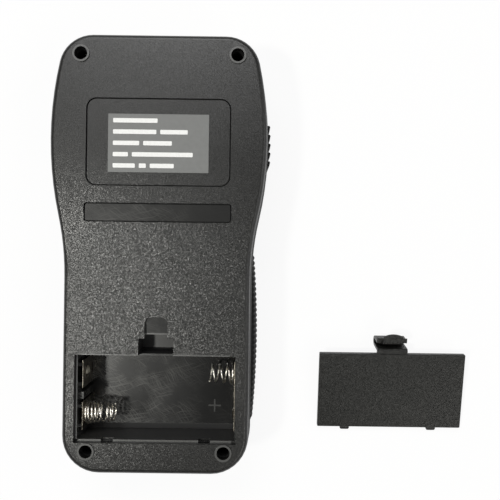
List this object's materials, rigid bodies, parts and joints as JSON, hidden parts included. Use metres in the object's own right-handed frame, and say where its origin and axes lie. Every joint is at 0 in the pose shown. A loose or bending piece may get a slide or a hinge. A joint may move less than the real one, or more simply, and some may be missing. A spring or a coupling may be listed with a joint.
{
  "type": "ultrasonic thickness gauge",
  "caption": "Handheld ultrasonic thickness gauge lying on its front, battery bay open with spring contacts, and its latched battery door taken off beside it.",
  "frame": {"origin": "on the front face at the middle of the case, on the bar between display and keypad", "axes": "+Z out of the back of the case, +Y along the case towards the probe sockets, +X to the right seen from behind"},
  "size_m": [0.1528, 0.155, 0.0325],
  "materials": {
    "case_plastic": "fine spark-eroded texture",
    "door_plastic": "fine texture",
    "grip_rubber": "knurled",
    "label_film": "satin film",
    "plated_sheet": "nickel plated, slightly dulled",
    "spring_wire": "nickel plated wire",
    "black_steel": "blackened",
    "bright_steel": "ground",
    "clear_window": "clear, glossy",
    "display_glass": "grey-green reflective",
    "white_plastic": "plain",
    "strip_rubber": "plain",
    "board_laminate": "solder mask",
    "chip_resin": "moulded",
    "switch_plastic": "moulded",
    "key_plastic": "satin",
    "socket_brass": "turned"
  },
  "bodies": {
    "case": {"rear_shell": "case_plastic", "front_shell": "case_plastic", "case_screws": "black_steel", "battery_door": "door_plastic", "grip_left": "grip_rubber", "grip_right": "grip_rubber", "rating_label": "label_film", "contact_positive": "plated_sheet", "contact_negative": "plated_sheet", "contact_bridge": "plated_sheet", "spring_negative": "spring_wire", "spring_bridge": "spring_wire", "display_window": "clear_window", "display_glass": "display_glass", "display_backlight": "white_plastic", "display_strips": "strip_rubber", "main_board": "board_laminate", "board_chips": "chip_resin", "board_screws": "bright_steel", "key_switches": "switch_plastic", "zero_block": "bright_steel", "probe_socket_left": "socket_brass", "probe_socket_right": "socket_brass", "socket_nuts": "socket_brass", "socket_insulators": "white_plastic", "socket_pins": "socket_brass"},
    "button_power": {"key_power": "key_plastic", "plunger_power": "white_plastic"},
    "button_light": {"key_light": "key_plastic", "plunger_light": "white_plastic"},
    "button_up": {"key_up": "key_plastic", "plunger_up": "white_plastic"},
    "button_mode": {"key_mode": "key_plastic", "plunger_mode": "white_plastic"},
    "button_zero": {"key_zero": "key_plastic", "plunger_zero": "white_plastic"},
    "button_down": {"key_down": "key_plastic", "plunger_down": "white_plastic"}
  },
  "joints": [
    {"name": "press_power", "type": "slide", "parent": "case", "child": "button_power", "axis": [0, 0, 1], "range_m": [0, 0.0005], "stiffness_N_per_m": 800, "springref_m": -0.0015},
    {"name": "press_light", "type": "slide", "parent": "case", "child": "button_light", "axis": [0, 0, 1], "range_m": [0, 0.0005], "stiffness_N_per_m": 800, "springref_m": -0.0015},
    {"name": "press_up", "type": "slide", "parent": "case", "child": "button_up", "axis": [0, 0, 1], "range_m": [0, 0.0005], "stiffness_N_per_m": 800, "springref_m": -0.0015},
    {"name": "press_mode", "type": "slide", "parent": "case", "child": "button_mode", "axis": [0, 0, 1], "range_m": [0, 0.0005], "stiffness_N_per_m": 800, "springref_m": -0.0015},
    {"name": "press_zero", "type": "slide", "parent": "case", "child": "button_zero", "axis": [0, 0, 1], "range_m": [0, 0.0005], "stiffness_N_per_m": 800, "springref_m": -0.0015},
    {"name": "press_down", "type": "slide", "parent": "case", "child": "button_down", "axis": [0, 0, 1], "range_m": [0, 0.0005], "stiffness_N_per_m": 800, "springref_m": -0.0015}
  ]
}
